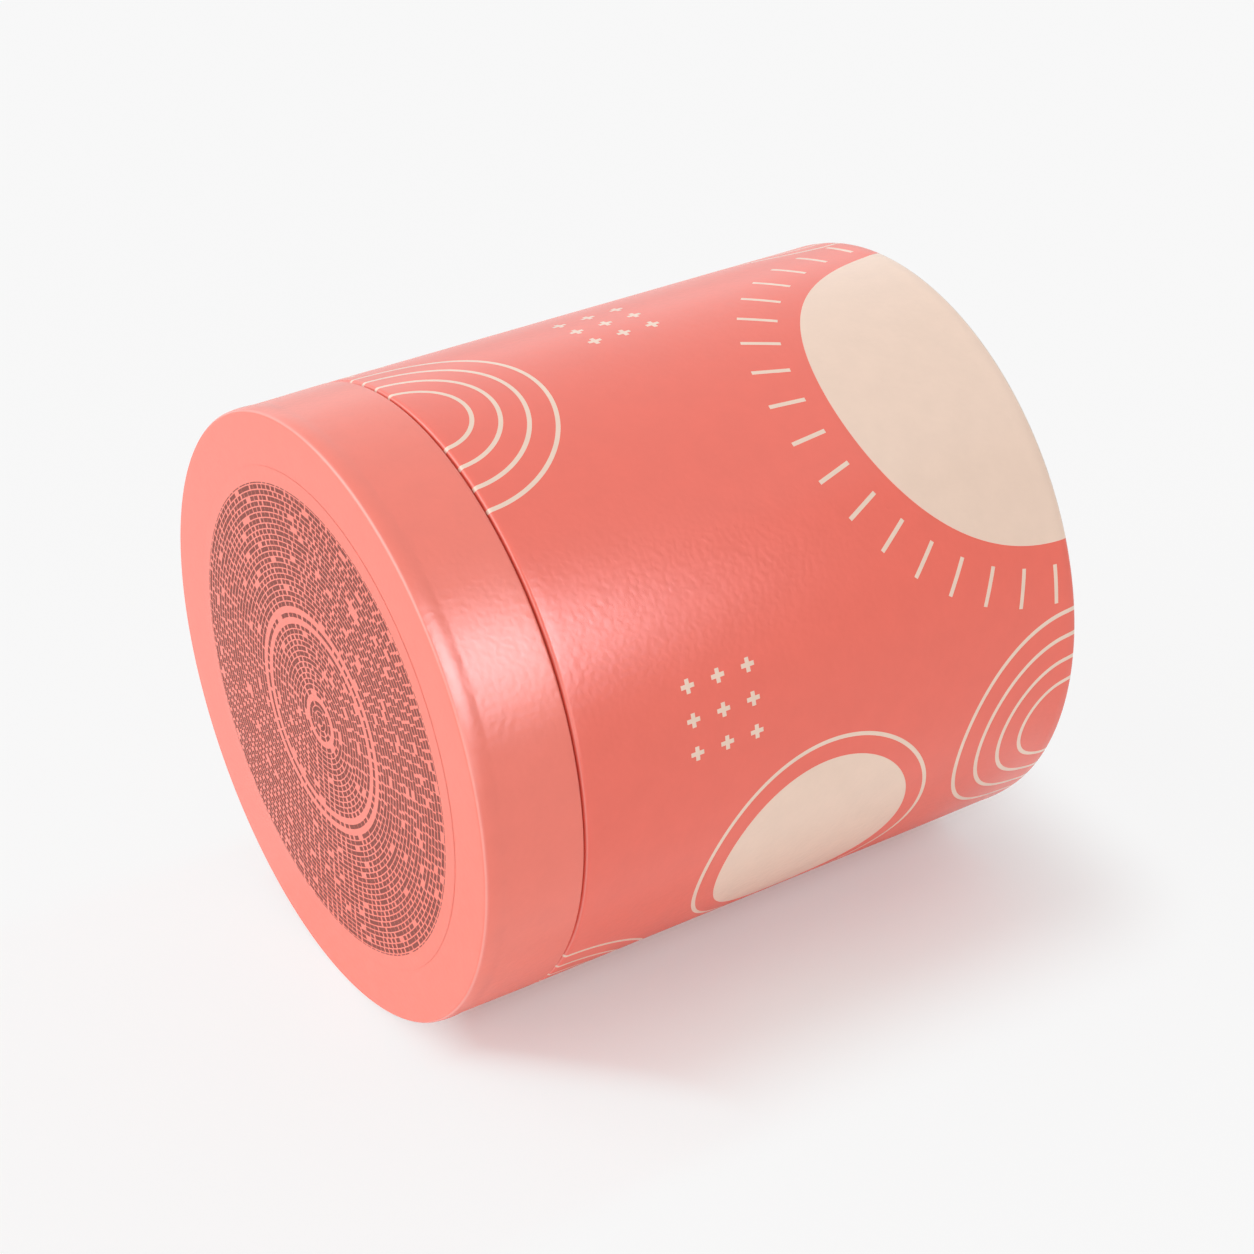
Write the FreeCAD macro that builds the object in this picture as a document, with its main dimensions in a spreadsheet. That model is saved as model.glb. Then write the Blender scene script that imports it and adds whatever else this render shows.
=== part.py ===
import FreeCAD, Part
import math
import os
import Sketcher

# A cylindrical gift tube box that lies on its side: a box and a pull-off lid of one
# outer diameter, which both sit over an inner neck tube that is glued into the box.
# Each piece is drawn as a half section, with the radius across and the height along
# the tube, the outside of the base at height 0, and is turned about the tube's axis.

doc = FreeCAD.newDocument("gift_tube")
sizes = doc.addObject("Spreadsheet::Sheet", "Sizes")
driving = (
    ("outer_radius", 70.0, "outside of the printed wraps"),
    ("total_length", 154.5, "base face to lid face with the lid on"),
    ("lid_height", 23.8, "lid face to the lid's rim"),
    ("seam_gap", 0.5, "lid rim to box rim with the lid on"),
    ("wrap_paper", 0.25, "printed and laminated art paper"),
    ("face_paper", 0.25, "paper discs on the two ends"),
    ("lining_paper", 0.15, "plain papers on the neck and inside"),
    ("glue_line", 0.05, "glue between two layers"),
    ("body_wall", 2.0, "greyboard tube of the box"),
    ("neck_wall", 1.2, "greyboard neck tube"),
    ("disc_board", 3.0, "greyboard discs of the two ends"),
    ("edge_round", 0.9, "rounding of the discs' outer edges"),
    ("rim_round", 0.2, "rounding of the board at the rims"),
    ("flange_width", 20.0, "wrap turned over on to an end, from the outer edge"),
    ("face_margin", 12.3, "outer edge to the cut edge of a face paper"),
    ("tuck_depth", 10.0, "wrap turned in at a rim"),
    ("neck_cover", 45.0, "neck paper, down from the neck's mouth"),
    ("neck_tuck", 12.0, "neck paper turned in at the mouth"),
    ("lid_fit", 0.3, "neck to the lid's mouth, on the radius"),
    ("lid_headroom", 0.3, "neck's mouth to the inside of the lid's end"),
    ("paper_joint", 0.2, "cut edge of a paper to the next piece"),
    ("lap_width", 8.0, "overlap where the two ends of a wrap meet"),
    ("body_lap_turn", 115.0, "degrees from the top of the lying tube to the box's overlap"),
    ("lid_lap_turn", 140.0, "degrees from the top of the lying tube to the lid's overlap"),
)
for row, (alias, value, note) in enumerate(driving, start=1):
    sizes.set(f"A{row}", note)
    sizes.set(f"B{row}", str(value))
    sizes.setAlias(f"B{row}", alias)
doc.recompute()


def more(*terms):
    return "(" + " + ".join(terms) + ")"


def less(first, *rest):
    return "(" + " - ".join((first,) + rest) + ")"


outer = "Sizes.outer_radius"
length = "Sizes.total_length"
wrap = "Sizes.wrap_paper"
face = "Sizes.face_paper"
lining = "Sizes.lining_paper"
glue = "Sizes.glue_line"
joint = "Sizes.paper_joint"
axis = "0"
base = "0"

# Radii, from the outside in. A tuck is the wrap where it is turned in at a rim.
wrap_inside = less(outer, wrap)
board_outside = less(wrap_inside, glue)
body_bore = less(board_outside, "Sizes.body_wall")
body_tuck_outside = less(body_bore, glue)
body_tuck_inside = less(body_tuck_outside, wrap)
neck_paper_outside = less(body_tuck_inside, glue)
neck_paper_inside = less(neck_paper_outside, lining)
neck_outside = less(neck_paper_inside, glue)
neck_inside = less(neck_outside, "Sizes.neck_wall")
bore_outside = less(neck_inside, glue)
bore_inside = less(bore_outside, lining)
lid_bore = more(neck_paper_outside, "Sizes.lid_fit")
lid_tuck_outside = more(lid_bore, wrap)
lid_board_inside = more(lid_tuck_outside, glue)
lid_lining_outside = less(lid_board_inside, glue)
lid_lining_inside = less(lid_lining_outside, lining)
flange_inside = less(outer, "Sizes.flange_width")
face_outside = less(outer, "Sizes.face_margin")
step_outside = less(flange_inside, joint)
step_inside = less(step_outside, face)

# Heights at the base end, upwards. A face paper steps in by one wrap and its glue
# where it passes from the turned-over wrap to the bare board.
face_step = more(wrap, glue)
base_flange = more(face, glue)
base_disc_low = more(base_flange, wrap, glue)
base_disc_top = more(base_disc_low, "Sizes.disc_board")
tube_foot = more(base_disc_top, glue)
base_lining_top = more(tube_foot, lining)

# Heights at the lid end, downwards.
lid_flange = less(length, face, glue)
lid_disc_top = less(lid_flange, wrap, glue)
lid_disc_low = less(lid_disc_top, "Sizes.disc_board")
lid_inside = less(lid_disc_low, glue)
lid_lining_low = less(lid_inside, lining)
neck_mouth = less(lid_lining_low, "Sizes.lid_headroom")
neck_top = less(neck_mouth, lining, glue)
lid_rim = less(length, "Sizes.lid_height")
lid_board_low = more(lid_rim, wrap, glue)
body_rim = less(lid_rim, "Sizes.seam_gap")
body_board_top = less(body_rim, wrap, glue)

# Roundings: of the board, and of the paper that goes round it, inside and outside.
# A disc's rounding is no larger than the disc is thick.
disc_edge = f"min(Sizes.edge_round; Sizes.disc_board - {glue})"
wrap_edge_inside = more(disc_edge, glue)
wrap_edge_outside = more(wrap_edge_inside, wrap)
board_rim = "Sizes.rim_round"
paper_rim_inside = more(board_rim, glue)
wrap_rim_outside = more(paper_rim_inside, wrap)
neck_rim_outside = more(paper_rim_inside, lining)

pieces = []


def new_piece(label):
    body = doc.addObject("PartDesign::Body", label)
    body.Label = label
    # The tube's axis is laid along -X, with the base at +X and the side on the floor.
    body.Placement.Rotation = FreeCAD.Rotation(FreeCAD.Vector(0, 1, 0), -90)
    body.setExpression("Placement.Base.x", f"{length} / 2")
    body.setExpression("Placement.Base.z", outer)
    pieces.append(body)
    return body


def new_sketch(body, name):
    sketch = body.newObject("Sketcher::SketchObject", name)
    planes = {feature.Role: feature for feature in body.Origin.OriginFeatures}
    sketch.AttachmentSupport = (planes["XZ_Plane"], [""])
    sketch.MapMode = "FlatFace"
    return sketch


def square_outline(sketch, corners):
    # A closed outline of level and upright sides in turn. A corner is a radius, a height
    # and, where it is rounded, the rounding's radius, all written as expressions.
    corners = [(corner + (None,))[:3] for corner in corners]
    count = len(corners)
    spots = []
    for across, along, rounding in corners:
        spot = FreeCAD.Vector(sizes.evalExpression(across), sizes.evalExpression(along), 0)
        spots.append((spot, sizes.evalExpression(rounding) if rounding else 0.0))
    headings = []
    for side in range(count):
        heading = spots[(side + 1) % count][0] - spots[side][0]
        headings.append(heading.normalize())

    for side in range(count):
        start, start_round = spots[side]
        end, end_round = spots[(side + 1) % count]
        first = start + headings[side] * start_round
        last = end - headings[side] * end_round
        sketch.addGeometry(Part.LineSegment(first, last), False)

    bound = []
    for side in range(count):
        across, along, rounding = corners[side]
        if corners[(side + 1) % count][0] == across:
            sketch.addConstraint(Sketcher.Constraint("Vertical", side))
            kind, value, on_axis = "DistanceX", across, -2
        else:
            sketch.addConstraint(Sketcher.Constraint("Horizontal", side))
            kind, value, on_axis = "DistanceY", along, -1
        if sizes.evalExpression(value) == 0:
            sketch.addConstraint(Sketcher.Constraint("PointOnObject", side, 1, on_axis))
        else:
            size = sizes.evalExpression(value)
            bound.append((sketch.addConstraint(Sketcher.Constraint(kind, -1, 1, side, 1, size)), value))

    for side in range(count):
        before = (side - 1) % count
        spot, radius = spots[side]
        rounding = corners[side][2]
        if rounding is None:
            sketch.addConstraint(Sketcher.Constraint("Coincident", before, 2, side, 1))
            continue
        centre = spot + (headings[side] - headings[before]) * radius
        circle = Part.Circle(centre, FreeCAD.Vector(0, 0, 1), radius)
        left_turn = headings[before].cross(headings[side]).z > 0
        ends = [spot - headings[before] * radius, spot + headings[side] * radius]
        if not left_turn:
            ends.reverse()
        turns = [math.atan2(end.y - centre.y, end.x - centre.x) for end in ends]
        arc = sketch.addGeometry(Part.ArcOfCircle(circle, *turns), False)
        arrives, leaves = (1, 2) if left_turn else (2, 1)
        sketch.addConstraint(Sketcher.Constraint("Tangent", before, 2, arc, arrives))
        sketch.addConstraint(Sketcher.Constraint("Tangent", arc, leaves, side, 1))
        bound.append((sketch.addConstraint(Sketcher.Constraint("Radius", arc, radius)), rounding))

    for constraint, value in bound:
        sketch.setExpression(f"Constraints[{constraint}]", value)


def turned(label, corners):
    body = new_piece(label)
    sketch = new_sketch(body, f"{label}_section")
    square_outline(sketch, corners)
    ring = body.newObject("PartDesign::Revolution", f"{label}_turn")
    ring.Profile = sketch
    ring.ReferenceAxis = (sketch, ["V_Axis"])
    ring.Angle = 360
    doc.recompute()
    return body


def add_lap(body, low, high, turn):
    # The outer end of the sheet lies over the inner end, one paper thicker than the rest.
    sketch = new_sketch(body, f"{body.Label}_lap_section")
    sketch.AttachmentOffset = FreeCAD.Placement(
        FreeCAD.Vector(), FreeCAD.Rotation(FreeCAD.Vector(0, 1, 0), 1)
    )
    sketch.setExpression("AttachmentOffset.Rotation.Angle", turn)
    lap_outside = more(outer, wrap)
    square_outline(
        sketch,
        [(wrap_inside, low), (lap_outside, low), (lap_outside, high), (wrap_inside, high)],
    )
    lap = body.newObject("PartDesign::Revolution", f"{body.Label}_lap")
    lap.Profile = sketch
    lap.ReferenceAxis = (sketch, ["V_Axis"])
    lap.setExpression("Angle", f"Sizes.lap_width / {outer} * 180 / pi")
    doc.recompute()


# Box: the wound tube, the disc on its end and the papers outside them.

turned(
    "body_board",
    [
        (body_bore, tube_foot),
        (board_outside, tube_foot),
        (board_outside, body_board_top, board_rim),
        (body_bore, body_board_top, board_rim),
    ],
)

turned(
    "base_disc",
    [
        (axis, base_disc_low),
        (board_outside, base_disc_low, disc_edge),
        (board_outside, base_disc_top),
        (axis, base_disc_top),
    ],
)

body_tuck_low = less(body_rim, "Sizes.tuck_depth")
base_flange_top = more(base_flange, wrap)
body_rim_inside = less(body_rim, wrap)
body_wrap = turned(
    "body_wrap",
    [
        (flange_inside, base_flange),
        (outer, base_flange, wrap_edge_outside),
        (outer, body_rim, wrap_rim_outside),
        (body_tuck_inside, body_rim, wrap_rim_outside),
        (body_tuck_inside, body_tuck_low),
        (body_tuck_outside, body_tuck_low),
        (body_tuck_outside, body_rim_inside, paper_rim_inside),
        (wrap_inside, body_rim_inside, paper_rim_inside),
        (wrap_inside, base_flange_top, wrap_edge_inside),
        (flange_inside, base_flange_top),
    ],
)
add_lap(
    body_wrap,
    more(base_flange, wrap_edge_outside),
    less(body_rim, wrap_rim_outside),
    "Sizes.body_lap_turn",
)

base_centre_top = more(face_step, face)
turned(
    "base_face_paper",
    [
        (axis, face_step),
        (step_inside, face_step),
        (step_inside, base),
        (face_outside, base),
        (face_outside, face),
        (step_outside, face),
        (step_outside, base_centre_top),
        (axis, base_centre_top),
    ],
)

# Neck: the inner tube that the lid slides on, and the papers on it and inside it.

turned(
    "neck_tube",
    [
        (neck_inside, tube_foot),
        (neck_outside, tube_foot),
        (neck_outside, neck_top, board_rim),
        (neck_inside, neck_top, board_rim),
    ],
)

neck_paper_low = less(neck_mouth, "Sizes.neck_cover")
neck_tuck_low = less(neck_mouth, "Sizes.neck_tuck")
neck_mouth_inside = less(neck_mouth, lining)
turned(
    "neck_paper",
    [
        (neck_paper_outside, neck_paper_low),
        (neck_paper_outside, neck_mouth, neck_rim_outside),
        (bore_inside, neck_mouth, neck_rim_outside),
        (bore_inside, neck_tuck_low),
        (bore_outside, neck_tuck_low),
        (bore_outside, neck_mouth_inside, paper_rim_inside),
        (neck_paper_inside, neck_mouth_inside, paper_rim_inside),
        (neck_paper_inside, neck_paper_low),
    ],
)

bore_low = more(base_lining_top, joint)
bore_high = less(neck_tuck_low, joint)
turned(
    "bore_lining",
    [
        (bore_inside, bore_low),
        (bore_outside, bore_low),
        (bore_outside, bore_high),
        (bore_inside, bore_high),
    ],
)

base_lining_outside = less(neck_inside, joint)
turned(
    "base_lining",
    [
        (axis, tube_foot),
        (base_lining_outside, tube_foot),
        (base_lining_outside, base_lining_top),
        (axis, base_lining_top),
    ],
)

# Lid: the short ring, the disc on its end, and the papers outside and inside them.

turned(
    "lid_board",
    [
        (lid_board_inside, lid_board_low, board_rim),
        (board_outside, lid_board_low, board_rim),
        (board_outside, lid_inside),
        (lid_board_inside, lid_inside),
    ],
)

turned(
    "lid_disc",
    [
        (axis, lid_disc_low),
        (board_outside, lid_disc_low),
        (board_outside, lid_disc_top, disc_edge),
        (axis, lid_disc_top),
    ],
)

lid_tuck_top = more(lid_rim, "Sizes.tuck_depth")
lid_flange_low = less(lid_flange, wrap)
lid_rim_inside = more(lid_rim, wrap)
lid_wrap = turned(
    "lid_wrap",
    [
        (flange_inside, lid_flange),
        (outer, lid_flange, wrap_edge_outside),
        (outer, lid_rim, wrap_rim_outside),
        (lid_bore, lid_rim, wrap_rim_outside),
        (lid_bore, lid_tuck_top),
        (lid_tuck_outside, lid_tuck_top),
        (lid_tuck_outside, lid_rim_inside, paper_rim_inside),
        (wrap_inside, lid_rim_inside, paper_rim_inside),
        (wrap_inside, lid_flange_low, wrap_edge_inside),
        (flange_inside, lid_flange_low),
    ],
)
add_lap(
    lid_wrap,
    more(lid_rim, wrap_rim_outside),
    less(lid_flange, wrap_edge_outside),
    "Sizes.lid_lap_turn",
)

lid_face_low = less(length, face)
lid_centre_top = less(length, face_step)
lid_centre_low = less(lid_centre_top, face)
turned(
    "lid_face_paper",
    [
        (axis, lid_centre_low),
        (step_outside, lid_centre_low),
        (step_outside, lid_face_low),
        (face_outside, lid_face_low),
        (face_outside, length),
        (step_inside, length),
        (step_inside, lid_centre_top),
        (axis, lid_centre_top),
    ],
)

lid_wall_low = more(lid_tuck_top, joint)
lid_wall_high = less(lid_lining_low, joint)
turned(
    "lid_wall_lining",
    [
        (lid_lining_inside, lid_wall_low),
        (lid_lining_outside, lid_wall_low),
        (lid_lining_outside, lid_wall_high),
        (lid_lining_inside, lid_wall_high),
    ],
)

lid_top_outside = less(lid_board_inside, joint)
turned(
    "lid_top_lining",
    [
        (axis, lid_lining_low),
        (lid_top_outside, lid_lining_low),
        (lid_top_outside, lid_inside),
        (axis, lid_inside),
    ],
)

doc.recompute()
faults = [item.Label for item in doc.Objects if {"Invalid", "Error"} & set(item.State)]
for piece in pieces:
    shape = piece.Shape
    if shape.isNull() or not shape.isValid() or len(shape.Solids) != 1:
        faults.append(piece.Label)
if faults:
    raise RuntimeError("these came out wrong: " + ", ".join(faults))

os.makedirs("parts", exist_ok=True)
for piece in pieces:
    piece.Shape.exportStep(f"parts/{piece.Label}.step")
    print(f"{piece.Label}: {piece.Shape.Volume:.0f} mm3")
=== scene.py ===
import math

import bpy
import numpy as np
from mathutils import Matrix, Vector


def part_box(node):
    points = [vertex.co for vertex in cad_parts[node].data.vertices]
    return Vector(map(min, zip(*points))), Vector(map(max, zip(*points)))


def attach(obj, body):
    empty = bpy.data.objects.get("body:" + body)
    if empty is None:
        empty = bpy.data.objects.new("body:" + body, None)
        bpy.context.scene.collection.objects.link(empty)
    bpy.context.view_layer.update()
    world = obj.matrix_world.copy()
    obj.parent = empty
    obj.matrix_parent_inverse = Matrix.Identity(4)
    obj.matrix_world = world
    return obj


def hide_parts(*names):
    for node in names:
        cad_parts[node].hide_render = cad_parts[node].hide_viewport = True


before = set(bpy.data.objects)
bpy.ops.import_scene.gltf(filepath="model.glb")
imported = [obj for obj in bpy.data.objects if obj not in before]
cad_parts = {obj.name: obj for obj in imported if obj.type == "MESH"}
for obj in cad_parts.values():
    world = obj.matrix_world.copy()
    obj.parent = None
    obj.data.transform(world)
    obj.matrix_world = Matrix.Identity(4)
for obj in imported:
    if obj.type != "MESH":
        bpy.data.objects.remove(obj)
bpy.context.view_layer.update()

# A lying gift tube of printed paper on greyboard, lid towards -X, axis one radius up.
# The dictionaries are in millimetres and degrees. A turn is measured from the top of the
# lying tube towards the back, and a path is an outline of (x, radius) in the half section.

mm = 0.001
scene = bpy.context.scene

tube = {
    "radius": 70.0,      # outside of the printed wraps
    "wrapPaper": 0.25,
    "liningPaper": 0.15,
    "turnSteps": 384,    # divisions round the tube
    "wallStep": 3.0,     # longest division along a straight side
    "arcSteps": 10,      # divisions of a quarter round
    "creaseAngle": 40.0,
    "tiny": 1e-6,        # anything shorter is no length at all
}


def span(node):
    # Where a node of the frame starts and ends along the axis
    low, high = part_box(node)
    return low.x / mm, high.x / mm


def linearColour(code):
    # sRGB hex to the linear colour that the sockets take
    srgb = np.array([int(code[i:i + 2], 16) for i in (1, 3, 5)]) / 255
    linear = np.where(srgb <= 0.04045, srgb / 12.92, ((srgb + 0.055) / 1.055) ** 2.4)
    return (*linear.tolist(), 1.0)


def addNode(tree, kind, inputs, **settings):
    # Inputs are values, nodes (their first output) or single output sockets
    node = tree.nodes.new("ShaderNode" + kind)
    for name, value in settings.items():
        setattr(node, name, value)
    for key, value in inputs.items():
        if isinstance(value, bpy.types.Node):
            value = value.outputs[0]
        if isinstance(value, bpy.types.NodeSocket):
            tree.links.new(value, node.inputs[key])
        else:
            node.inputs[key].default_value = value
    return node


def smoothStep(low, high, value):
    # From 0 at low to 1 at high: three squares of the share of the way, less two cubes
    share = np.clip((value - low) / (high - low), 0, 1)
    return share * share * (3 - 2 * share)


def roundCorners(corners):
    # A corner (x, radius, rounding) becomes a quarter round: its centre is the corner plus the
    # rounding along both sides, and the arc swings from the side before to the side after
    spots = np.array([corner[:2] for corner in corners], float)
    rounding = np.array([corner[2] if len(corner) > 2 else 0.0 for corner in corners])
    before = np.roll(spots, 1, 0) - spots
    after = np.roll(spots, -1, 0) - spots
    before /= np.linalg.norm(before, axis=1, keepdims=True)
    after /= np.linalg.norm(after, axis=1, keepdims=True)
    swing = np.linspace(0, np.pi / 2, tube["arcSteps"] + 1)[None, :, None]
    size = rounding[:, None, None]
    centre = spots[:, None] + size * (before + after)[:, None]
    arc = centre - size * (after[:, None] * np.cos(swing) + before[:, None] * np.sin(swing))
    path = arc.reshape(-1, 2)
    moved = np.linalg.norm(path - np.roll(path, 1, 0), axis=1) > tube["tiny"]
    return path[moved]


def divideSides(path, longest):
    # Every side longer than the given step is split into equal parts
    side = np.roll(path, -1, 0) - path
    steps = np.linalg.norm(side, axis=1) / longest
    count = np.maximum(np.ceil(steps - tube["tiny"]).astype(int), 1)
    if path[0, 1] == 0 and path[-1, 1] == 0:
        count[-1] = 1
    index = np.repeat(np.arange(len(path)), count)
    step = np.arange(count.sum()) - np.repeat(np.cumsum(count) - count, count)
    return path[index] + (step / count[index])[:, None] * side[index]


def turnPath(name, path, body, node, material, turns=None, start=0.0, lift=None, edgeHighlight=None):
    # Point (x, r) at turn t lies at x, r sin t and one radius plus r cos t; lift is added to r.
    # The sheet's own coordinates are the way round at the outer radius and along the path, and
    # edgeHighlight is the share of painted highlight at each point of the path, along its folded edges
    area = np.sum(path[:, 0] * np.roll(path[:, 1], -1) - path[:, 1] * np.roll(path[:, 0], -1))
    if area > 0:
        path = path[::-1]
        lift = None if lift is None else lift[:, ::-1]
        edgeHighlight = None if edgeHighlight is None else edgeHighlight[::-1]
    if turns is None:
        turns = np.linspace(0, 360, tube["turnSteps"] + 1)[1:]
    rows, columns = len(turns), len(path)
    angle = np.radians(turns + start)[:, None]
    x = np.tile(path[:, 0], (rows, 1))
    r = np.tile(path[:, 1], (rows, 1)) + (0 if lift is None else lift)
    spots = np.stack([x, r * np.sin(angle), tube["radius"] + r * np.cos(angle)], -1)
    number = np.arange(rows * columns).reshape(rows, columns)
    hasPoles = path[0, 1] == 0 and path[-1, 1] == 0
    if hasPoles:
        number[:, 0] = number[0, 0]
        number[:, -1] = number[0, -1]
    used, number = np.unique(number, return_inverse=True)
    number = number.reshape(rows, columns)
    right = np.roll(number, -1, 1)
    quads = np.stack([number, right, np.roll(right, -1, 0), np.roll(number, -1, 0)], -1)
    along = np.append(0, np.cumsum(np.linalg.norm(np.roll(path, -1, 0) - path, axis=1)))
    around = np.radians(np.append(turns, turns[0] + 360)) * tube["radius"]
    grid = np.stack(np.meshgrid(around, along, indexing="ij"), -1)
    sheet = np.stack([grid[:-1, :-1], grid[:-1, 1:], grid[1:, 1:], grid[1:, :-1]], 2)
    if hasPoles:
        # The columns beside the two poles are triangles, and nothing joins pole to pole
        faces = quads[:, 0, :3].tolist() + quads[:, -2][:, [0, 1, 3]].tolist()
        faces += quads[:, 1:-2].reshape(-1, 4).tolist()
        loops = [sheet[:, 0, :3], sheet[:, -2][:, [0, 1, 3]], sheet[:, 1:-2]]
    else:
        faces = quads.reshape(-1, 4).tolist()
        loops = [sheet]
    mesh = bpy.data.meshes.new(name)
    mesh.from_pydata((spots.reshape(-1, 3)[used] * mm).tolist(), [], faces)
    places = np.concatenate([part.reshape(-1, 2) for part in loops]).astype(np.float32)
    mesh.uv_layers.new(name="sheet").data.foreach_set("uv", places.ravel())
    # The share of painted highlight along the folded edges, kept as a point attribute
    if edgeHighlight is not None:
        bent = mesh.attributes.new("edgeHighlight", "FLOAT", "POINT")
        bent.data.foreach_set("value", np.tile(edgeHighlight, rows)[used].astype(np.float32))
    mesh.shade_smooth()
    mesh.set_sharp_from_angle(angle=math.radians(tube["creaseAngle"]))
    mesh.materials.append(material)
    piece = bpy.data.objects.new(name, mesh)
    scene.collection.objects.link(piece)
    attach(piece, body)
    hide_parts(node)
    print(f"{name}: {len(mesh.polygons)} faces in place of {node}")


# Papers and board

print("materials")

# What the papers and the board have in common
paperNoise = {
    "cloudRange": (0.3, 0.7),  # where the values of the patches' noise mostly lie
    "cloudDetail": 2.0,
    "fibreBend": 0.3,
}

# Art paper with a satin film: even ink, a soft sheen, and fibres that show as a fine grain in it
filmedPaper = {
    "coral": "#ED6C5B",
    # The lid's coral is a paler copy of the box's, which paints the lid's stronger sheen into its
    # colour
    "lidCoralPaintedSheen": "#F07A69",
    "cream": "#EDD1BE",
    "ink": "#82433A",
    "inkRoughness": 0.85,  # matt ink that is printed over the film
    "roughness": 0.26,
    "glossDepth": 0.012,   # how much the roughness goes up and down with the patches
    "ior": 1.52,
    "cloud": 6.0,          # size of the soft patches in the ink's density
    "cloudDepth": 0.014,
    "grain": 1.3,          # size of the fibres' bumps under the film, drawn coarser to show
    "grainHeight": 0.042,
    # A painted highlight: white mixed into the film along its folded edges, in place of an edge
    # highlight
    "edgeHighlightColour": "#FFFFFF",
    "edgeHighlightStrength": 0.15,     # how strongly the painted highlight whitens the film along its folded edges
}


def paperMaterial(name, look, colour=None):
    # Paper with its fibres pressed flat: uneven in colour over some millimetres, with small bumps
    material = bpy.data.materials.new(name)
    material.use_nodes = True
    tree = material.node_tree
    tree.nodes.clear()
    place = addNode(tree, "TexCoord", {}).outputs["Object"]
    ground, inked = linearColour(look["colour"])[:3], None
    if colour is not None:
        ground, inked = colour(tree, look)
    cloudShape = {"Scale": 1 / (look["cloud"] * mm), "Detail": paperNoise["cloudDetail"]}
    cloud = addNode(tree, "TexNoise", {"Vector": place, **cloudShape})
    fibreShape = {"Scale": 1 / (look["grain"] * mm), "Distortion": paperNoise["fibreBend"]}
    fibre = addNode(tree, "TexNoise", {"Vector": place, "Detail": 0.0, **fibreShape})
    lowest, highest = paperNoise["cloudRange"]
    patches = {"Value": cloud, 1: lowest, 2: highest}
    depth = look["cloudDepth"]
    shade = addNode(tree, "MapRange", {**patches, 3: 1 - depth, 4: 1 + depth})
    tone = addNode(tree, "VectorMath", {0: ground, "Scale": shade}, operation="SCALE")
    if "edgeHighlightStrength" in look:
        # Painted highlight: white mixed in along the folded edges
        edgeHighlight = addNode(tree, "Attribute", {}, attribute_name="edgeHighlight").outputs["Fac"]
        highlighted = addNode(tree, "Math", {0: edgeHighlight, 1: look["edgeHighlightStrength"]}, operation="MULTIPLY")
        colours = {6: tone, 7: linearColour(look["edgeHighlightColour"])}
        tone = addNode(tree, "Mix", {0: highlighted, **colours}, data_type="RGBA").outputs[2]
    low = look["roughness"] - look["glossDepth"]
    high = look["roughness"] + look["glossDepth"]
    gloss = addNode(tree, "MapRange", {**patches, 3: low, 4: high})
    if inked is not None:
        levels = {2: gloss, 3: look["inkRoughness"]}
        gloss = addNode(tree, "Mix", {0: inked, **levels}, data_type="FLOAT")
    height = {"Height": fibre, "Strength": 1.0, "Distance": look["grainHeight"] * mm}
    bump = addNode(tree, "Bump", height)
    shader = addNode(
        tree,
        "BsdfPrincipled",
        {"Base Color": tone, "Roughness": gloss, "IOR": look["ior"], "Normal": bump},
    )
    addNode(tree, "OutputMaterial", {"Surface": shader})
    return material


# Where the two ends of a wrap overlap, how wide, and on how long a way the sheet climbs there
bodyLap = {"turn": 115.0, "width": 8.0, "rise": 2.5}
lidLap = {"turn": 140.0, "width": 8.0, "rise": 2.5}


def roundTurn(length):
    # Degrees of a length round the outside of the tube
    return math.degrees(length / tube["radius"])


def lapEnd(lap):
    # The turn of an overlap's free edge
    return lap["turn"] + roundTurn(lap["width"])


# The box's print: suns, moons and arcs in cream on coral, none of them across the overlap.
# Each is at a turn and a distance from the box's rim, and discs, rings and rays have a radius
sunPrint = {
    "line": 1.0,
    "discs": [(-30, 130, 44), (-112, 62, 25), (66, 0, 36), (84, 92, 21), (178, 44, 25), (170, 130, 38)],
    "rings": [(-112, 62, 30), (84, 92, 26), (178, 44, 30)],
    "arcs": [(-4, 0), (-104, 130), (43, 130), (215, 0)],
    "arcRadii": (12.0, 30.0),
    "arcPitch": 6.0,
    "rays": [(-30, 130, 44), (66, 0, 36), (170, 130, 38)],
    "rayCount": 36,
    "rayGap": 5.0,
    "rayLength": 9.0,
    "crosses": [(-74, 36), (10, 58), (140, 70), (213, 86)],
    "crossPitch": 7.5,
    "crossArm": 1.6,
    "crossRows": 3,
}


def onSheet(turn, along):
    # A place on the box's wrap: millimetres round from its free edge, and along from its rim
    return (math.radians((turn - lapEnd(bodyLap)) % 360) * tube["radius"], along, 0.0)


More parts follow.
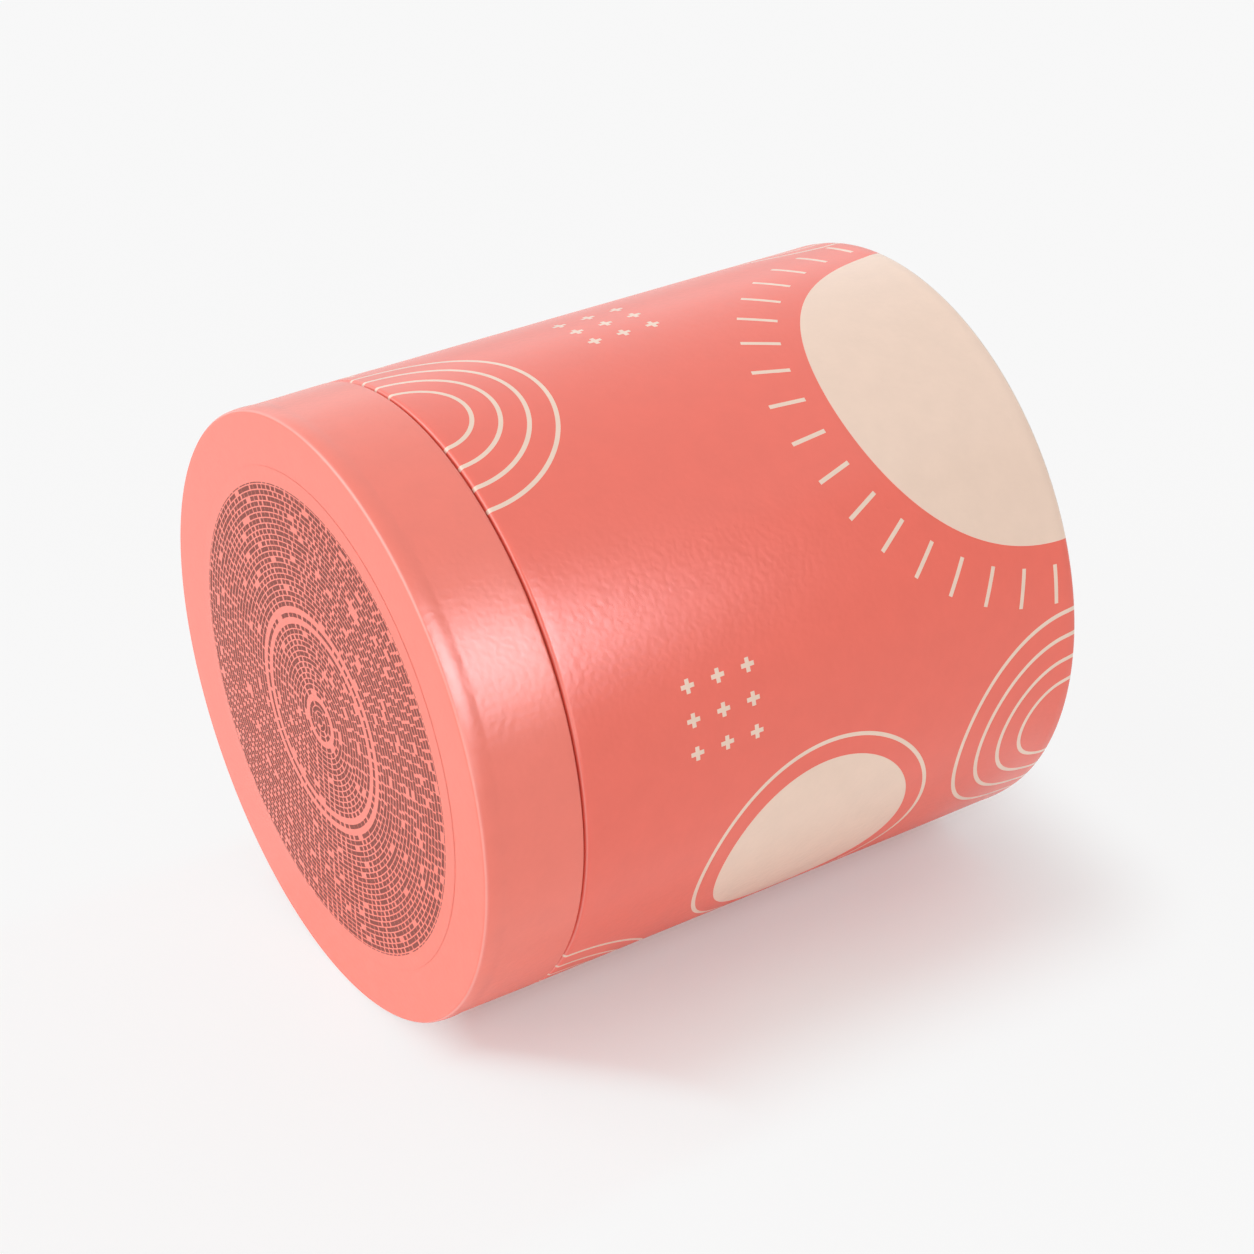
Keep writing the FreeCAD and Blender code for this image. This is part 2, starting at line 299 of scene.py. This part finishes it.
def sunPrintColour(tree, look):
    # Each motif is a distance on the flat sheet that is compared with its size
    place = addNode(tree, "UVMap", {}, uv_map="sheet")
    half = sunPrint["line"] / 2
    shapes = []
    for kind, test in (("discs", "LESS_THAN"), ("rings", "COMPARE")):
        for turn, along, radius in sunPrint[kind]:
            spot = onSheet(turn, along)
            offset = addNode(tree, "VectorMath", {0: place, 1: spot}, operation="SUBTRACT")
            away = addNode(tree, "VectorMath", {0: offset}, operation="LENGTH").outputs["Value"]
            shapes.append(addNode(tree, "Math", {0: away, 1: radius, 2: half}, operation=test))
    first, last = sunPrint["arcRadii"]
    for turn, along in sunPrint["arcs"]:
        offset = addNode(tree, "VectorMath", {0: place, 1: onSheet(turn, along)}, operation="SUBTRACT")
        away = addNode(tree, "VectorMath", {0: offset}, operation="LENGTH").outputs["Value"]
        beyond = addNode(tree, "Math", {0: away, 1: first}, operation="SUBTRACT")
        off = addNode(tree, "Math", {0: beyond, 1: sunPrint["arcPitch"] / 2}, operation="PINGPONG")
        drawn = addNode(tree, "Math", {0: off, 1: half}, operation="LESS_THAN")
        reach = (last - first) / 2 + half
        band = addNode(tree, "Math", {0: away, 1: (first + last) / 2, 2: reach}, operation="COMPARE")
        shapes.append(addNode(tree, "Math", {0: drawn, 1: band}, operation="MULTIPLY"))
    for turn, along, radius in sunPrint["rays"]:
        offset = addNode(tree, "VectorMath", {0: place, 1: onSheet(turn, along)}, operation="SUBTRACT")
        away = addNode(tree, "VectorMath", {0: offset}, operation="LENGTH").outputs["Value"]
        parts = addNode(tree, "SeparateXYZ", {0: offset}).outputs
        bearing = addNode(tree, "Math", {0: parts[0], 1: parts[1]}, operation="ARCTAN2")
        # Half a step round, so that no ray lies along a fold
        step = math.pi / sunPrint["rayCount"]
        between = addNode(tree, "Math", {0: bearing, 1: step}, operation="PINGPONG")
        off = addNode(tree, "Math", {0: step, 1: between}, operation="SUBTRACT")
        aside = addNode(tree, "Math", {0: off, 1: away}, operation="MULTIPLY")
        drawn = addNode(tree, "Math", {0: aside, 1: half}, operation="LESS_THAN")
        reach = sunPrint["rayLength"] / 2
        middle = radius + sunPrint["rayGap"] + reach
        band = addNode(tree, "Math", {0: away, 1: middle, 2: reach}, operation="COMPARE")
        shapes.append(addNode(tree, "Math", {0: drawn, 1: band}, operation="MULTIPLY"))
    pitch = sunPrint["crossPitch"]
    for turn, along in sunPrint["crosses"]:
        offset = addNode(tree, "VectorMath", {0: place, 1: onSheet(turn, along)}, operation="SUBTRACT")
        size = addNode(tree, "VectorMath", {0: offset}, operation="ABSOLUTE")
        parts = addNode(tree, "SeparateXYZ", {0: size}).outputs
        u = addNode(tree, "Math", {0: parts[0], 1: pitch / 2}, operation="PINGPONG")
        v = addNode(tree, "Math", {0: parts[1], 1: pitch / 2}, operation="PINGPONG")
        near = addNode(tree, "Math", {0: u, 1: v}, operation="MINIMUM")
        far = addNode(tree, "Math", {0: u, 1: v}, operation="MAXIMUM")
        thin = addNode(tree, "Math", {0: near, 1: half}, operation="LESS_THAN")
        short = addNode(tree, "Math", {0: far, 1: sunPrint["crossArm"]}, operation="LESS_THAN")
        cross = addNode(tree, "Math", {0: thin, 1: short}, operation="MULTIPLY")
        widest = addNode(tree, "Math", {0: parts[0], 1: parts[1]}, operation="MAXIMUM")
        reach = pitch * sunPrint["crossRows"] / 2
        group = addNode(tree, "Math", {0: widest, 1: reach}, operation="LESS_THAN")
        shapes.append(addNode(tree, "Math", {0: cross, 1: group}, operation="MULTIPLY"))
    printed = shapes[0]
    for shape in shapes[1:]:
        printed = addNode(tree, "Math", {0: printed, 1: shape}, operation="MAXIMUM")
    colours = {6: linearColour(look["colour"]), 7: linearColour(look["cream"])}
    return addNode(tree, "Mix", {0: printed, **colours}, data_type="RGBA").outputs[2], None


# The lid's end: rings of short strokes in brown, a plain ornament
strokeRings = {
    "radius": 54.0,
    "ringPitch": 1.25,
    "ringShare": 0.78,     # how much of a ring's width is inked
    "strokePitch": 2.3,
    "shortest": 0.6,       # a stroke's length, as a share of its pitch
    "longest": 1.0,
    "gapShare": 0.04,      # share of strokes left out
    "blankShare": 0.06,    # share of rings left out
}

# The discs' cut edges are pressed down, and a thin darker line of painted shade runs along them, where
# their small step casts its shadow
edgePaintedShade = {"from": 56.6, "to": 57.2, "shade": 0.985}


def fromAxis(tree):
    # Millimetres from the tube's axis, across it
    place = addNode(tree, "TexCoord", {}).outputs["Object"]
    centre = (0.0, 0.0, tube["radius"] * mm)
    offset = addNode(tree, "VectorMath", {0: place, 1: centre}, operation="SUBTRACT")
    return addNode(tree, "VectorMath", {0: offset, 1: (0.0, 1 / mm, 1 / mm)}, operation="MULTIPLY")


def endPaperColour(tree, look):
    # One colour, with painted shade: darkened where the distance from the axis comes near the disc's
    # own radius
    flat = fromAxis(tree)
    away = addNode(tree, "VectorMath", {0: flat}, operation="LENGTH").outputs["Value"]
    reach = {1: edgePaintedShade["from"], 2: edgePaintedShade["to"], 3: 1.0, 4: edgePaintedShade["shade"]}
    # Painted shade along the disc's cut edge
    shade = addNode(tree, "MapRange", {"Value": away, **reach}, interpolation_type="SMOOTHSTEP")
    ground = linearColour(look["colour"])[:3]
    return addNode(tree, "VectorMath", {0: ground, "Scale": shade}, operation="SCALE"), None


def strokeRingColour(tree, look):
    # Ring number is the radius over the pitch; in each ring a whole number of strokes goes round
    flat = fromAxis(tree)
    parts = addNode(tree, "SeparateXYZ", {0: flat}).outputs
    away = addNode(tree, "VectorMath", {0: flat}, operation="LENGTH").outputs["Value"]
    bearing = addNode(tree, "Math", {0: parts[1], 1: parts[2]}, operation="ARCTAN2")
    rings = addNode(tree, "Math", {0: away, 1: strokeRings["ringPitch"]}, operation="DIVIDE")
    ring = addNode(tree, "Math", {0: rings}, operation="FLOOR")
    acrossRing = addNode(tree, "Math", {0: rings}, operation="FRACT")
    wanted = 2 * math.pi * strokeRings["ringPitch"] / strokeRings["strokePitch"]
    strokes = addNode(tree, "Math", {0: ring, 1: wanted}, operation="MULTIPLY")
    count = addNode(tree, "Math", {0: strokes}, operation="ROUND")
    # Half a turn more, so that the share of the way round is never below 0
    share = addNode(tree, "Math", {0: bearing, 1: 2 * math.pi}, operation="DIVIDE")
    whole = addNode(tree, "Math", {0: share, 1: 0.5}, operation="ADD")
    cells = addNode(tree, "Math", {0: whole, 1: count}, operation="MULTIPLY")
    cell = addNode(tree, "Math", {0: cells}, operation="FLOOR")
    acrossCell = addNode(tree, "Math", {0: cells}, operation="FRACT")
    key = addNode(tree, "CombineXYZ", {0: ring, 1: cell})
    luck = addNode(tree, "TexWhiteNoise", {"Vector": key}, noise_dimensions="3D")
    ringLuck = addNode(tree, "TexWhiteNoise", {"W": ring}, noise_dimensions="1D")
    reach = {1: 0.0, 2: 1.0, 3: strokeRings["shortest"], 4: strokeRings["longest"]}
    length = addNode(tree, "MapRange", {"Value": luck, **reach})
    tests = [
        addNode(tree, "Math", {0: acrossRing, 1: strokeRings["ringShare"]}, operation="LESS_THAN"),
        addNode(tree, "Math", {0: acrossCell, 1: length}, operation="LESS_THAN"),
        addNode(tree, "Math", {0: luck, 1: strokeRings["gapShare"]}, operation="GREATER_THAN"),
        addNode(tree, "Math", {0: ringLuck, 1: strokeRings["blankShare"]}, operation="GREATER_THAN"),
        addNode(tree, "Math", {0: away, 1: strokeRings["radius"]}, operation="LESS_THAN"),
    ]
    inked = tests[0]
    for test in tests[1:]:
        inked = addNode(tree, "Math", {0: inked, 1: test}, operation="MULTIPLY")
    colours = {6: endPaperColour(tree, look)[0], 7: linearColour(look["ink"])}
    return addNode(tree, "Mix", {0: inked, **colours}, data_type="RGBA").outputs[2], inked


bodyLook = dict(filmedPaper, colour=filmedPaper["coral"])
# The lid and its end take the paler coral with its painted sheen
lidPaintedSheenLook = dict(filmedPaper, colour=filmedPaper["lidCoralPaintedSheen"])

# Uncoated woodfree paper: matt, with a soft tooth that scatters the light evenly
neckLook = {
    "colour": "#E9D3C2",
    "roughness": 0.75,
    "glossDepth": 0.03,
    "ior": 1.47,
    "cloud": 14.0,
    "cloudDepth": 0.015,
    "grain": 0.7,
    "grainHeight": 0.02,
}
liningLook = dict(neckLook, colour="#EEE6DC")

# Greyboard from waste paper: dull, flecked and rough, seen only where a wrap leaves it bare
boardLook = {
    "colour": "#8F877A",
    "roughness": 0.9,
    "glossDepth": 0.03,
    "ior": 1.45,
    "cloud": 4.0,
    "cloudDepth": 0.12,
    "grain": 0.5,
    "grainHeight": 0.05,
}

lidWrapPaper = paperMaterial("satinFilmedPaperLid", lidPaintedSheenLook)
bodyWrapPaper = paperMaterial("satinFilmedPaperPrinted", bodyLook, sunPrintColour)
lidEndPaper = paperMaterial("satinFilmedPaperLidEnd", lidPaintedSheenLook, strokeRingColour)
baseEndPaper = paperMaterial("satinFilmedPaperBaseEnd", bodyLook, endPaperColour)
neckPaper = paperMaterial("woodfreePaperCream", neckLook)
liningPaper = paperMaterial("woodfreePaperWhite", liningLook)
greyboard = paperMaterial("greyboard", boardLook)

# Wraps of the box and the lid

print("wraps")

wrapShape = {
    # The turned-over end edge in arcs: radius, and the normal's turn from the end face
    "edgeArcs": [(0.4, 0, 35), (1.4, 35, 60), (0.4, 60, 80), (13.0, 80, 90)],
    "edgeSteps": 8,        # divisions of each of them
    "innerEdge": 0.95,     # inside of that edge
    "flangeRadius": 50.0,
    "tuckDepth": 10.0,
    "fineReach": 9.0,      # how far from the end the wall is divided finely
    "fineStep": 0.25,
    "freeEdge": 0.03,      # degrees that the step at an overlap's free edge takes
    "clearTurn": 0.3,      # least degrees between an even division and an overlap's own
    # The overlap and the waves fade in up to the wall, off the end and off the rim
    "wallFade": (1.5, 0.2),
    "endFade": (2.0, 4.0),
    "rimFade": (0.2, 1.0),
    "dipFrom": 3.1,        # where the paper steps down off the end disc, from the end
    "dipTo": 5.5,
    "dipBack": 22.0,       # and where it is back at the full radius
    "dipFade": 0.25,       # how unevenly the paper sinks into the joint
    "ripples": (19, 31, 53),
    # Waves round the tube, and the millimetres along it that turn one by a radian
    "waves": [(3, 19.0), (7, -13.0), (12, 31.0)],
    "waveDepth": 0.03,
    # The painted highlight shows from and to these distances off the flat end or rim, and in from the
    # wall
    "highlightOff": (0.05, 0.25, 1.5),
    "highlightIn": (0.12, 0.35, 1.2),
}
# Outside of the fold at the rim, inside of the wrap where it is turned in there, depth of the dip
boxWrap = {"rimRound": 1.0, "tuckInside": 67.4, "dipDepth": 0.05}
lidWrap = {"rimRound": 0.6, "tuckInside": 67.65, "dipDepth": 0.13}


def sheetTurns(lap):
    # Turns from the free edge of an overlap once round and back to it, with lines where the
    # overlap starts to rise and where it ends
    even = np.linspace(0, 360, tube["turnSteps"] + 1)
    width = roundTurn(lap["width"])
    rise = roundTurn(lap["rise"])
    top = 360 - width
    own = np.array([wrapShape["freeEdge"], top - rise, top - rise / 2, top, 360])
    clear = np.abs(even[:, None] - own[None]).min(1) > wrapShape["clearTurn"]
    return np.sort(np.concatenate([even[clear], own]))


def endEdge():
    # Arcs that join in one tangent: while the normal turns from a to b, a point moves by the arc's
    # radius times sin b - sin a outwards and cos a - cos b away from the end
    size, first, last = np.array(wrapShape["edgeArcs"], float).T
    turn = np.radians(np.linspace(first, last, wrapShape["edgeSteps"] + 1, axis=1))
    out = np.append(0, np.cumsum(size[:, None] * np.diff(np.sin(turn))))
    along = np.append(0, np.cumsum(size[:, None] * -np.diff(np.cos(turn))))
    return along, out[-1] - out


def wrapPath(rim, end, shape):
    # Outer wall, end edge, turned-over flange, and back along the inside to the tuck at the rim
    toEnd = np.sign(end - rim)
    paper = tube["wrapPaper"] * toEnd
    radius = tube["radius"]
    inside = radius - tube["wrapPaper"]
    tuckInside = shape["tuckInside"]
    tuckOutside = tuckInside + tube["wrapPaper"]
    tuck = rim + wrapShape["tuckDepth"] * toEnd
    innerRim = shape["rimRound"] - tube["wrapPaper"]
    along, below = endEdge()
    fine = np.arange(wrapShape["fineReach"], along[-1], -wrapShape["fineStep"])
    wall = np.stack([end - toEnd * fine, np.full(len(fine), radius)], 1)
    edge = np.stack([end - toEnd * along, radius - below], 1)[::-1]
    return divideSides(roundCorners([
        (rim, radius, shape["rimRound"]),
        *wall.tolist(),
        *edge.tolist(),
        (end, wrapShape["flangeRadius"]),
        (end - paper, wrapShape["flangeRadius"]),
        (end - paper, inside, wrapShape["innerEdge"]),
        (rim + paper, inside, innerRim),
        (rim + paper, tuckOutside, innerRim),
        (tuck, tuckOutside),
        (tuck, tuckInside),
        (rim, tuckInside, shape["rimRound"]),
    ]), tube["wallStep"])


def wrapLift(path, turns, rim, end, lap, shape):
    # Added to the outer wall only: the overlap, where the sheet climbs by its thickness over its
    # own hidden end, an uneven dip round the joint under the paper, and slow waves of the wound
    # board. The dip's ripple and the waves are means of three sines, and both only go inwards
    x, r = path.T
    angle = np.radians(turns)[:, None]
    low, high = wrapShape["wallFade"]
    outer = smoothStep(tube["radius"] - low, tube["radius"] - high, r)
    fromEnd = np.abs(x - end)
    fromRim = np.abs(x - rim)
    clear = smoothStep(*wrapShape["endFade"], fromEnd) * smoothStep(*wrapShape["rimFade"], fromRim)
    top = 360 - roundTurn(lap["width"])
    climb = tube["wrapPaper"] * smoothStep(top - roundTurn(lap["rise"]), top, turns)[:, None]
    ripple = np.mean([np.sin(n * angle + i) for i, n in enumerate(wrapShape["ripples"])], 0)
    sunk = smoothStep(wrapShape["dipFrom"], wrapShape["dipTo"], fromEnd)
    sunk = sunk - smoothStep(wrapShape["dipTo"], wrapShape["dipBack"], fromEnd)
    dip = shape["dipDepth"] * sunk * (1 + wrapShape["dipFade"] * ripple)
    wave = np.mean([np.sin(n * angle + x / slant) for n, slant in wrapShape["waves"]], 0)
    wave = wrapShape["waveDepth"] * (wave - 1) / 2
    return outer * (climb * clear - dip + wave * clear)


def wrapEdgeHighlight(path, rim, end):
    # Painted highlight, both off the flat end or rim and in from the wall: a smooth start each, and a
    # plain end
    x, r = path.T
    low, high, last = wrapShape["highlightIn"]
    inward = tube["radius"] - r
    offWall = smoothStep(low, high, inward) * (inward < last)
    low, high, last = wrapShape["highlightOff"]
    off = np.abs(x[None] - np.array([[rim], [end]]))
    offFlat = smoothStep(low, high, off) * (off < last)
    return offWall * offFlat.max(0)


def addWrap(name, body, node, material, rim, end, lap, shape):
    # The sheet's path, turned from its free edge once round
    path = wrapPath(rim, end, shape)
    turns = sheetTurns(lap)
    lift = wrapLift(path, turns, rim, end, lap, shape)
    # Painted highlight along the folded end and rim edges
    edgeHighlight = wrapEdgeHighlight(path, rim, end)
    turnPath(name, path, body, node, material, turns, lapEnd(lap), lift, edgeHighlight)


bodyRim, bodyEnd = span("body_wrap")
addWrap("bodyWrap", "box", "body_wrap", bodyWrapPaper, bodyRim, bodyEnd, bodyLap, boxWrap)
lidEnd, lidRim = span("lid_wrap")
addWrap("lidWrap", "lid", "lid_wrap", lidWrapPaper, lidRim, lidEnd, lidLap, lidWrap)

# Paper discs on the two ends

print("end papers")

endPaper = {
    "radius": 57.7,
    "paper": 0.25,
    "pressFrom": 46.0,     # outside this radius the disc is pressed down towards its edge
    "pressDepth": 0.23,
    "flatSteps": 15,
    "pressSteps": 16,
}


def endPaperPath(face, inward):
    # A flat back, and a front that is flat in the middle and comes down smoothly to a thin edge
    even = np.linspace(0, endPaper["pressFrom"], endPaper["flatSteps"], endpoint=False)
    pressed = np.linspace(endPaper["pressFrom"], endPaper["radius"], endPaper["pressSteps"] + 1)
    r = np.concatenate([even, pressed])
    depth = endPaper["pressDepth"] * smoothStep(endPaper["pressFrom"], endPaper["radius"], r)
    front = np.stack([face + inward * depth, r], 1)
    back = np.stack([np.full(len(r), face + inward * endPaper["paper"]), r], 1)
    return np.concatenate([front, back[::-1]])


lidFacePath = endPaperPath(span("lid_face_paper")[0], 1)
turnPath("lidFacePaper", lidFacePath, "lid", "lid_face_paper", lidEndPaper)
baseFacePath = endPaperPath(span("base_face_paper")[1], -1)
turnPath("baseFacePaper", baseFacePath, "box", "base_face_paper", baseEndPaper)

# Papers of the neck and the inside

print("linings")

neckShape = {"outside": 67.35, "inside": 65.75, "rimRound": 0.4, "tuckDepth": 12.0}
liningRadius = {"box": 65.75, "lid": 67.75}     # of the room inside each


def neckPath():
    # Round the outside of the neck, over its mouth and a short way down the inside
    mouth, low = span("neck_paper")
    paper = tube["liningPaper"]
    innerRim = neckShape["rimRound"] - paper
    tuck = mouth + neckShape["tuckDepth"]
    return divideSides(roundCorners([
        (mouth, neckShape["outside"], neckShape["rimRound"]),
        (low, neckShape["outside"]),
        (low, neckShape["outside"] - paper),
        (mouth + paper, neckShape["outside"] - paper, innerRim),
        (mouth + paper, neckShape["inside"] + paper, innerRim),
        (tuck, neckShape["inside"] + paper),
        (tuck, neckShape["inside"]),
        (mouth, neckShape["inside"], neckShape["rimRound"]),
    ]), tube["wallStep"])


def stripPath(node, inside):
    # A plain strip that lines a round wall
    low, high = span(node)
    outside = inside + tube["liningPaper"]
    corners = [(low, outside), (high, outside), (high, inside), (low, inside)]
    return divideSides(roundCorners(corners), tube["wallStep"])


def discPath(node, radius):
    # From the middle of one side round the edge to the middle of the other
    low, high = span(node)
    corners = [(low, 0.0), (low, radius), (high, radius), (high, 0.0)]
    return divideSides(roundCorners(corners), tube["wallStep"])


turnPath("neckPaper", neckPath(), "box", "neck_paper", neckPaper)
for name, shape, body, node in (
    ("boreLining", stripPath, "box", "bore_lining"),
    ("baseLining", discPath, "box", "base_lining"),
    ("lidWallLining", stripPath, "lid", "lid_wall_lining"),
    ("lidTopLining", discPath, "lid", "lid_top_lining"),
):
    turnPath(name, shape(node, liningRadius[body]), body, node, liningPaper)

for node in ("body_board", "base_disc", "neck_tube", "lid_board", "lid_disc"):
    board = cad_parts[node].data
    board.materials.clear()
    board.materials.append(greyboard)

# Studio: a white paper sweep, soft lamps left, above and in front, and a small one for the shine

print("studio")

studio = {
    "floorColour": "#F8F8F8",
    "floorSize": 12000.0,
    "surround": 0.12,                      # light from all round
    "shadowMiddle": (-70.0, -20.0, 0.0),   # of the stretch of floor that shows its shadow
    "shadowHalf": (145.0, 45.0, 0.0),
    # Each of these goes from one place to another, and from one value to another
    "contact": (20.0, 37.0, 0.12, 0.36),   # share of plain white, away from the line under the tube
    "outside": (0.0, 42.0, 0.0, 1.0),      # how far it comes to farShare, away from that stretch
    "lidSide": (-46.0, -80.0, 0.0, 0.8),   # least share of plain white, by x in front of the lid
    "lean": (40.0, 100.0, 0.0, 60.0),      # how far lidSide moves along, by the way aside
    "gloss": (0.0, 0.6, 0.0, 0.93),        # share of plain white that gloss shows, by outside
    "farShare": 0.95,
}
softLamps = {
    "leftLamp": {"towards": (-0.80, 0.25, 0.50), "strength": 2.14, "spread": 70.0},
    "topLamp": {"towards": (0.15, 0.42, 0.90), "strength": 1.4, "spread": 120.0},
    "frontLamp": {"towards": (-0.25, -0.94, 0.14), "strength": 1.7, "spread": 56.0},
}
# A hooded lamp that only shows as the shine in the film
shineLamp = {
    "place": (10.0, -269.0, 285.0),
    "aim": (-62.0, -55.0, 112.0),
    "size": (155.0, 277.0),
    "beam": 52.0,
    "power": 0.125,
    "colour": "#EEF4FF",
}

half = studio["floorSize"] / 2 * mm
corners = [(-half, -half, 0), (half, -half, 0), (half, half, 0), (-half, half, 0)]
floorMesh = bpy.data.meshes.new("floor")
floorMesh.from_pydata(corners, [], [(0, 1, 2, 3)])
floor = bpy.data.objects.new("floor", floorMesh)
scene.collection.objects.link(floor)

# Matt white paper: its shadow shows round the tube, and further off it is seen as plain white
white = linearColour(studio["floorColour"])
sweep = bpy.data.materials.new("mattWhitePaperSweep")
sweep.use_nodes = True
tree = sweep.node_tree
tree.nodes.clear()
place = addNode(tree, "TexCoord", {}).outputs["Object"]
scaled = addNode(tree, "VectorMath", {0: place, "Scale": 1 / mm}, operation="SCALE")
offset = addNode(tree, "VectorMath", {0: scaled, 1: studio["shadowMiddle"]}, operation="SUBTRACT")
size = addNode(tree, "VectorMath", {0: offset}, operation="ABSOLUTE")
beyond = addNode(tree, "VectorMath", {0: size, 1: studio["shadowHalf"]}, operation="SUBTRACT")
outside = addNode(tree, "VectorMath", {0: beyond, 1: (0.0, 0.0, 0.0)}, operation="MAXIMUM")
away = addNode(tree, "VectorMath", {0: outside}, operation="LENGTH").outputs["Value"]
parts = addNode(tree, "SeparateXYZ", {0: scaled}).outputs
aside = addNode(tree, "Math", {0: parts[1]}, operation="ABSOLUTE")
lean = addNode(tree, "MapRange", {"Value": aside, **dict(enumerate(studio["lean"], 1))})
towardsLid = addNode(tree, "Math", {0: parts[0], 1: lean}, operation="SUBTRACT")
shares = []
for value, name in ((aside, "contact"), (away, "outside"), (towardsLid, "lidSide")):
    reach = {"Value": value, **dict(enumerate(studio[name], 1))}
    shares.append(addNode(tree, "MapRange", reach, interpolation_type="SMOOTHSTEP"))
near, outer, lidShare = shares
share = addNode(tree, "Mix", {0: outer, 2: near, 3: studio["farShare"]}, data_type="FLOAT")
share = addNode(tree, "Math", {0: share, 1: lidShare}, operation="MAXIMUM")
# Gloss shows the shadow under the tube without that white, and the plain white further off
mirrored = addNode(tree, "MapRange", {"Value": outer, **dict(enumerate(studio["gloss"], 1))})
light = addNode(tree, "LightPath", {}).outputs
straight = addNode(tree, "Math", {0: light["Is Camera Ray"], 1: share}, operation="MULTIPLY")
bentRays = {0: light["Is Glossy Ray"], 1: light["Is Transmission Ray"]}
bent = addNode(tree, "Math", bentRays, operation="MAXIMUM")
bent = addNode(tree, "Math", {0: bent, 1: mirrored}, operation="MULTIPLY")
blend = addNode(tree, "Math", {0: straight, 1: bent}, operation="MAXIMUM")
paper = addNode(tree, "BsdfDiffuse", {"Color": white})
glow = addNode(tree, "Emission", {"Color": white, "Strength": 1.0})
mixed = addNode(tree, "MixShader", {0: blend, 1: paper, 2: glow})
addNode(tree, "OutputMaterial", {"Surface": mixed})
floorMesh.materials.append(sweep)

# All round it is plain white to look at, straight or in gloss, and gives a little light
world = bpy.data.worlds.new("studio")
world.use_nodes = True
scene.world = world
tree = world.node_tree
tree.nodes.clear()
light = addNode(tree, "LightPath", {}).outputs
seenRays = {0: light["Is Camera Ray"], 1: light["Is Glossy Ray"]}
seen = addNode(tree, "Math", seenRays, operation="MAXIMUM")
seen = addNode(tree, "Math", {0: seen, 1: light["Is Transmission Ray"]}, operation="MAXIMUM")
level = addNode(tree, "Mix", {0: seen, 2: studio["surround"], 3: 1.0}, data_type="FLOAT")
sky = addNode(tree, "Background", {"Color": white, "Strength": level})
addNode(tree, "OutputWorld", {"Surface": sky})


def placeLamp(name, lamp, towards):
    # A lamp shines down its own axis, which is tipped and then turned to point away from the tube
    holder = bpy.data.objects.new(name, lamp)
    x, y, z = towards
    holder.rotation_euler = (math.atan2(math.hypot(x, y), z), 0, math.atan2(x, -y))
    scene.collection.objects.link(holder)
    return holder


for name, look in softLamps.items():
    lamp = bpy.data.lights.new(name, "SUN")
    lamp.energy = look["strength"]
    lamp.angle = math.radians(look["spread"])
    placeLamp(name, lamp, look["towards"])

lamp = bpy.data.lights.new("shineLamp", "AREA")
lamp.shape = "ELLIPSE"
lamp.size = shineLamp["size"][0] * mm
lamp.size_y = shineLamp["size"][1] * mm
lamp.spread = math.radians(shineLamp["beam"])
lamp.energy = shineLamp["power"]
lamp.color = linearColour(shineLamp["colour"])[:3]
towards = np.subtract(shineLamp["place"], shineLamp["aim"])
holder = placeLamp("shineLamp", lamp, towards.tolist())
holder.location = [value * mm for value in shineLamp["place"]]
holder.visible_diffuse = False
holder.visible_camera = False

# Camera, from the outline, the seam and the end circle in the photograph
photoView = {
    "place": (-305.85, -474.58, 426.79),
    "down": 32.468,
    "right": 32.995,
    "lens": 83.47,
    "sensor": 36.0,
}
lens = bpy.data.cameras.new("camera")
lens.sensor_width = photoView["sensor"]
lens.lens = photoView["lens"]
camera = bpy.data.objects.new("camera", lens)
camera.location = [value * mm for value in photoView["place"]]
camera.rotation_euler = (math.radians(90 - photoView["down"]), 0, math.radians(-photoView["right"]))
scene.collection.objects.link(camera)
scene.camera = camera

scene.view_settings.view_transform = "Standard"

print("done")
